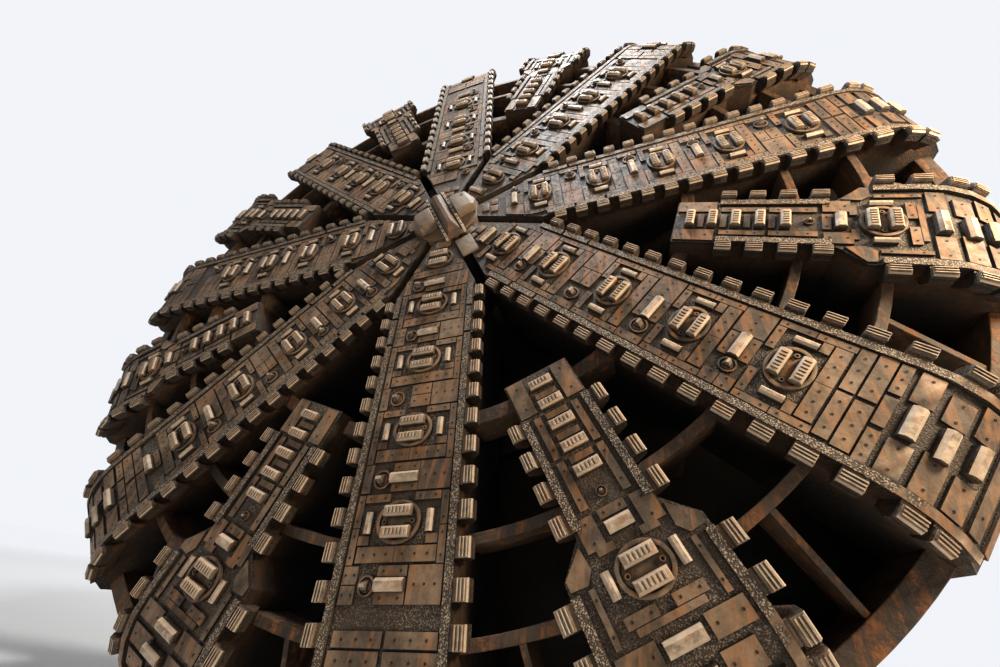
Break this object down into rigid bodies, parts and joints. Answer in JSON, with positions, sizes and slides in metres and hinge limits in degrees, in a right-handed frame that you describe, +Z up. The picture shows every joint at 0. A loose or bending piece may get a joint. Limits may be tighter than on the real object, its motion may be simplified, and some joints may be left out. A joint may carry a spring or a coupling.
{
  "type": "tunnel boring machine cutterhead on its main drive and front shield",
  "caption": "Spoked soft-ground cutterhead with rings and cutting tools, turning on the main drive in a short front shield with bulkhead, air locks and a screw conveyor port.",
  "frame": {"origin": "centre of the bolt circle on the rear face of the front shield's rear flange", "axes": "Y is the machine's axis, the cutterhead faces -Y, +Z is up"},
  "size_m": [17.4276, 5.32, 17.4276],
  "materials": {
    "girder_steel": "mud-stained hardfaced steel plate",
    "ring_steel": "rusty mud-stained steel",
    "bit_steel": "worn carbide and steel",
    "hub_steel": "dark oiled and muddy steel",
    "shield_paint": "scuffed grey primer",
    "drive_paint": "dark blue-grey enamel"
  },
  "bodies": {
    "front_shield": {"shield_skin": "shield_paint", "bulkhead": "shield_paint", "drive_housing": "drive_paint", "drive_motors": "drive_paint", "rotary_union": "drive_paint", "man_locks": "shield_paint", "screw_port": "drive_paint", "mixing_bars": "hub_steel"},
    "cutterhead": {"main_spoke_1": "girder_steel", "main_spoke_2": "girder_steel", "main_spoke_3": "girder_steel", "main_spoke_4": "girder_steel", "main_spoke_5": "girder_steel", "main_spoke_6": "girder_steel", "main_spoke_7": "girder_steel", "main_spoke_8": "girder_steel", "short_spoke_1": "girder_steel", "short_spoke_2": "girder_steel", "short_spoke_3": "girder_steel", "short_spoke_4": "girder_steel", "short_spoke_5": "girder_steel", "short_spoke_6": "girder_steel", "short_spoke_7": "girder_steel", "short_spoke_8": "girder_steel", "twin_cutters_1": "bit_steel", "twin_cutters_2": "bit_steel", "twin_cutters_3": "bit_steel", "twin_cutters_4": "bit_steel", "twin_cutters_5": "bit_steel", "twin_cutters_6": "bit_steel", "twin_cutters_7": "bit_steel", "twin_cutters_8": "bit_steel", "ladder_bits": "bit_steel", "hub": "hub_steel", "centre_bit": "bit_steel", "inner_ring": "ring_steel", "middle_ring": "ring_steel", "outer_ring": "ring_steel", "rim_ring": "ring_steel", "ring_ribs": "ring_steel", "support_legs": "girder_steel", "drive_flange": "hub_steel"}
  },
  "joints": [
    {"name": "cutterhead_spin", "type": "hinge", "parent": "front_shield", "child": "cutterhead", "pos_m": [0, -3.46, 0], "axis": [0, -1, 0], "continuous": true}
  ]
}
